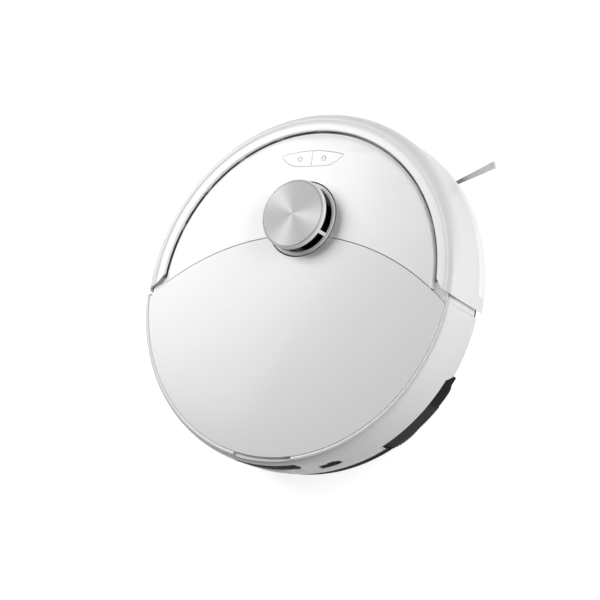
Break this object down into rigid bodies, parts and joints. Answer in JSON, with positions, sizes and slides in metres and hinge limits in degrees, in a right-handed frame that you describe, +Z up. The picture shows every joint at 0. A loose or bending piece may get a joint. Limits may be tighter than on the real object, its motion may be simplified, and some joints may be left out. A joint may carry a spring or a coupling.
{
  "type": "robot vacuum",
  "caption": "Round robot vacuum with laser turret, sprung bumper, lift-off lid, roller and side brush, drive wheels and spinning mop pads.",
  "frame": {"origin": "on the floor, below the centre of the round body", "axes": "+Z up; +Y the driving direction; +X the right side, where the side brush is"},
  "size_m": [0.35, 0.35, 0.0965],
  "materials": {
    "white_shell": "satin white",
    "white_panel": "satin white",
    "white_bumper": "satin white",
    "black_base": "fine matt grain",
    "dark_window": "dark, infrared-clear",
    "brushed_disc": "brushed in circles",
    "frame_grey": "plain moulding",
    "contact_metal": "plated",
    "steel": "plain",
    "motor_metal": "plain",
    "dark_plastic": "plain moulding",
    "board_green": "solder mask",
    "cell_blue": "shrink wrap",
    "light_plastic": "plain moulding",
    "smoke_plastic": "smoked",
    "filter_white": "pleated",
    "latch_orange": "plain",
    "tyre_rubber": "ribbed",
    "belt_rubber": "plain",
    "brush_rubber": "soft",
    "bristle_grey": "bundled nylon",
    "pad_fabric": "looped microfibre"
  },
  "bodies": {
    "chassis": {"base_chassis": "black_base", "base_rim": "black_base", "frame_deck": "frame_grey", "rear_shell": "white_shell", "top_panel": "white_panel", "rear_window": "dark_window", "refill_port": "dark_window", "cliff_sensors": "dark_window", "charging_contacts": "contact_metal", "base_screws": "steel", "brush_housing": "black_base", "brush_guard": "black_base", "brush_motor": "motor_metal", "side_brush_motor": "dark_plastic", "wheel_housings": "black_base", "caster_socket": "black_base", "battery": "cell_blue", "battery_cover": "black_base", "main_board": "board_green", "blower_housing": "dark_plastic", "air_duct": "black_base", "water_tank": "smoke_plastic", "dust_bin": "smoke_plastic", "bin_filter": "filter_white", "lidar_base": "dark_plastic", "lidar_motor": "motor_metal", "lidar_belt": "belt_rubber", "turret_springs": "steel", "speaker": "dark_plastic", "bumper_switches": "dark_plastic", "lift_motor": "motor_metal"},
    "bumper_unit": {"bumper": "white_bumper", "bumper_strip": "white_bumper", "bumper_window": "dark_window"},
    "lid_unit": {"lid": "white_shell"},
    "turret_unit": {"turret_cover": "white_shell", "turret_disc": "brushed_disc"},
    "lidar_rotor": {"lidar_head": "dark_plastic"},
    "lidar_drive": {"lidar_pulley": "dark_plastic"},
    "power_key": {"power_button": "white_panel"},
    "home_key": {"home_button": "white_panel"},
    "left_suspension": {"left_arm": "dark_plastic"},
    "right_suspension": {"right_arm": "dark_plastic"},
    "left_wheel": {"left_rim": "light_plastic", "left_tyre": "tyre_rubber"},
    "right_wheel": {"right_rim": "light_plastic", "right_tyre": "tyre_rubber"},
    "caster_swivel": {"caster_fork": "dark_plastic"},
    "caster_roll": {"caster_wheel": "light_plastic"},
    "roller": {"main_brush_core": "brush_rubber", "main_brush_fins": "brush_rubber"},
    "side_sweeper": {"side_brush": "brush_rubber", "side_brush_bristles": "bristle_grey"},
    "mop_lifter": {"mop_carriage": "dark_plastic", "mop_gearboxes": "dark_plastic"},
    "left_mop": {"left_mop_plate": "dark_plastic", "left_mop_pad": "pad_fabric"},
    "right_mop": {"right_mop_plate": "dark_plastic", "right_mop_pad": "pad_fabric"},
    "fan": {"blower_impeller": "light_plastic"},
    "latch": {"bin_latch": "latch_orange"}
  },
  "joints": [
    {"name": "bumper_press", "type": "slide", "parent": "chassis", "child": "bumper_unit", "axis": [0, -1, 0], "range_m": [0, 0.003], "stiffness_N_per_m": 500, "springref_m": -0.0015},
    {"name": "lid_lift", "type": "slide", "parent": "chassis", "child": "lid_unit", "axis": [0, 0, 1], "range_m": [0, 0.05]},
    {"name": "turret_press", "type": "slide", "parent": "chassis", "child": "turret_unit", "axis": [0, 0, -1], "range_m": [0, 0.0015], "stiffness_N_per_m": 1500, "springref_m": -0.001, "deforming": ["turret_springs"]},
    {"name": "lidar_spin", "type": "hinge", "parent": "chassis", "child": "lidar_rotor", "pos_m": [0, 0.0635, 0.078], "axis": [0, 0, 1], "continuous": true},
    {"name": "lidar_drive_spin", "type": "hinge", "parent": "chassis", "child": "lidar_drive", "pos_m": [-0.05, 0.0635, 0.066], "axis": [0, 0, 1], "continuous": true},
    {"name": "power_press", "type": "slide", "parent": "chassis", "child": "power_key", "axis": [0, 0, -1], "range_m": [0, 0.0008], "stiffness_N_per_m": 700, "springref_m": -0.0005},
    {"name": "home_press", "type": "slide", "parent": "chassis", "child": "home_key", "axis": [0, 0, -1], "range_m": [0, 0.0008], "stiffness_N_per_m": 700, "springref_m": -0.0005},
    {"name": "left_droop", "type": "hinge", "parent": "chassis", "child": "left_suspension", "pos_m": [-0.102, 0.046, 0.04], "axis": [1, 0, 0], "range_deg": [0, 25], "stiffness_Nm_per_rad": 0.35, "springref_deg": 34.38},
    {"name": "right_droop", "type": "hinge", "parent": "chassis", "child": "right_suspension", "pos_m": [0.102, 0.046, 0.04], "axis": [1, 0, 0], "range_deg": [0, 25], "stiffness_Nm_per_rad": 0.35, "springref_deg": 34.38},
    {"name": "left_wheel_spin", "type": "hinge", "parent": "left_suspension", "child": "left_wheel", "pos_m": [-0.121, 0, 0.034], "axis": [1, 0, 0], "continuous": true},
    {"name": "right_wheel_spin", "type": "hinge", "parent": "right_suspension", "child": "right_wheel", "pos_m": [0.121, 0, 0.034], "axis": [1, 0, 0], "continuous": true},
    {"name": "caster_turn", "type": "hinge", "parent": "chassis", "child": "caster_swivel", "pos_m": [0, 0.125, 0.035], "axis": [0, 0, 1], "continuous": true},
    {"name": "caster_spin", "type": "hinge", "parent": "caster_swivel", "child": "caster_roll", "pos_m": [0, 0.119, 0.013], "axis": [1, 0, 0], "continuous": true},
    {"name": "roller_spin", "type": "hinge", "parent": "chassis", "child": "roller", "pos_m": [0, 0.024, 0.021], "axis": [1, 0, 0], "continuous": true},
    {"name": "side_brush_spin", "type": "hinge", "parent": "chassis", "child": "side_sweeper", "pos_m": [0.094, 0.111, 0.01], "axis": [0, 0, 1], "continuous": true},
    {"name": "mop_raise", "type": "slide", "parent": "chassis", "child": "mop_lifter", "axis": [0, 0, 1], "range_m": [0, 0.008]},
    {"name": "left_mop_spin", "type": "hinge", "parent": "mop_lifter", "child": "left_mop", "pos_m": [-0.068, -0.084, 0.03], "axis": [0, 0, 1], "continuous": true},
    {"name": "right_mop_spin", "type": "hinge", "parent": "mop_lifter", "child": "right_mop", "pos_m": [0.068, -0.084, 0.03], "axis": [0, 0, 1], "continuous": true},
    {"name": "fan_spin", "type": "hinge", "parent": "chassis", "child": "fan", "pos_m": [-0.11791, -0.07804, 0.05], "axis": [0, 0, 1], "continuous": true},
    {"name": "latch_press", "type": "slide", "parent": "chassis", "child": "latch", "axis": [0, -1, 0], "range_m": [0, 0.002], "stiffness_N_per_m": 400, "springref_m": -0.0005}
  ],
  "couplings": [
    {"joint": "lidar_drive_spin", "follows": "lidar_spin", "ratio": 4.8},
    {"joint": "right_mop_spin", "follows": "left_mop_spin", "ratio": -1}
  ]
}
